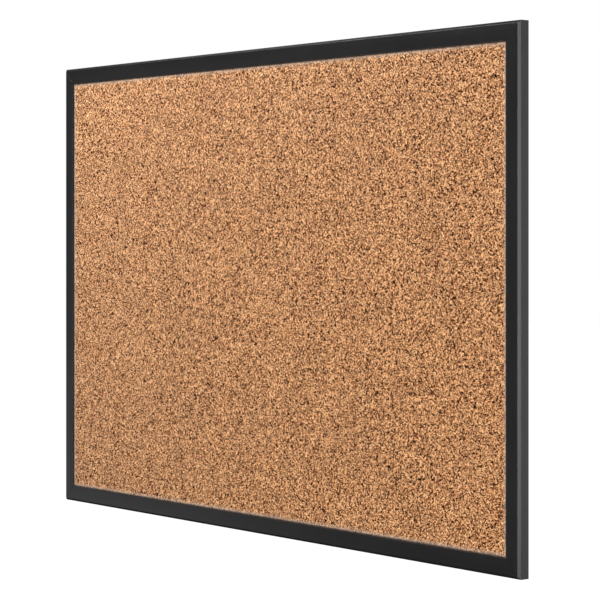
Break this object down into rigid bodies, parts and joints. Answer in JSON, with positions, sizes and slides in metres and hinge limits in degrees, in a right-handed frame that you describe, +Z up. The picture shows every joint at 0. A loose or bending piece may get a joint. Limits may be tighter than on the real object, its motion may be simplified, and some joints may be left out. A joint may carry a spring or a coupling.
{
  "type": "cork bulletin board",
  "caption": "Wall-hung cork bulletin board in a mitred black aluminium frame, hung by keyhole plates that slide along a slot in the back of the frame.",
  "frame": {"origin": "on the wall plane, midway between the seats of the two keyholes, where the wall screws carry the board", "axes": "+X to the board's right as seen from the front, +Y into the wall (the cork faces -Y), +Z up"},
  "size_m": [0.9144, 0.0173, 0.6096],
  "materials": {
    "black_aluminium": "satin",
    "cork": "matte",
    "fibreboard": "matte",
    "kraft_paper": "matte",
    "zinc_plated_steel": "satin",
    "bumper_rubber": "matte"
  },
  "bodies": {
    "frame": {"top_rail": "black_aluminium", "right_stile": "black_aluminium", "bottom_rail": "black_aluminium", "left_stile": "black_aluminium", "cork_sheet": "cork", "fibreboard_core": "fibreboard", "kraft_backing": "kraft_paper", "top_right_backing_angle": "zinc_plated_steel", "top_right_corner_angle": "zinc_plated_steel", "top_right_set_screw_a": "zinc_plated_steel", "top_right_set_screw_b": "zinc_plated_steel", "bottom_right_backing_angle": "zinc_plated_steel", "bottom_right_corner_angle": "zinc_plated_steel", "bottom_right_set_screw_a": "zinc_plated_steel", "bottom_right_set_screw_b": "zinc_plated_steel", "bottom_left_backing_angle": "zinc_plated_steel", "bottom_left_corner_angle": "zinc_plated_steel", "bottom_left_set_screw_a": "zinc_plated_steel", "bottom_left_set_screw_b": "zinc_plated_steel", "top_left_backing_angle": "zinc_plated_steel", "top_left_corner_angle": "zinc_plated_steel", "top_left_set_screw_a": "zinc_plated_steel", "top_left_set_screw_b": "zinc_plated_steel", "left_bumper": "bumper_rubber", "right_bumper": "bumper_rubber"},
    "left_hanger": {"left_hanger_plate": "zinc_plated_steel", "left_hanger_t_nut": "zinc_plated_steel", "left_hanger_clamp_screw": "zinc_plated_steel"},
    "right_hanger": {"right_hanger_plate": "zinc_plated_steel", "right_hanger_t_nut": "zinc_plated_steel", "right_hanger_clamp_screw": "zinc_plated_steel"}
  },
  "joints": [
    {"name": "left_hanger_slide", "type": "slide", "parent": "frame", "child": "left_hanger", "axis": [1, 0, 0], "range_m": [-0.19, 0.18]},
    {"name": "right_hanger_slide", "type": "slide", "parent": "frame", "child": "right_hanger", "axis": [1, 0, 0], "range_m": [-0.18, 0.19]}
  ]
}
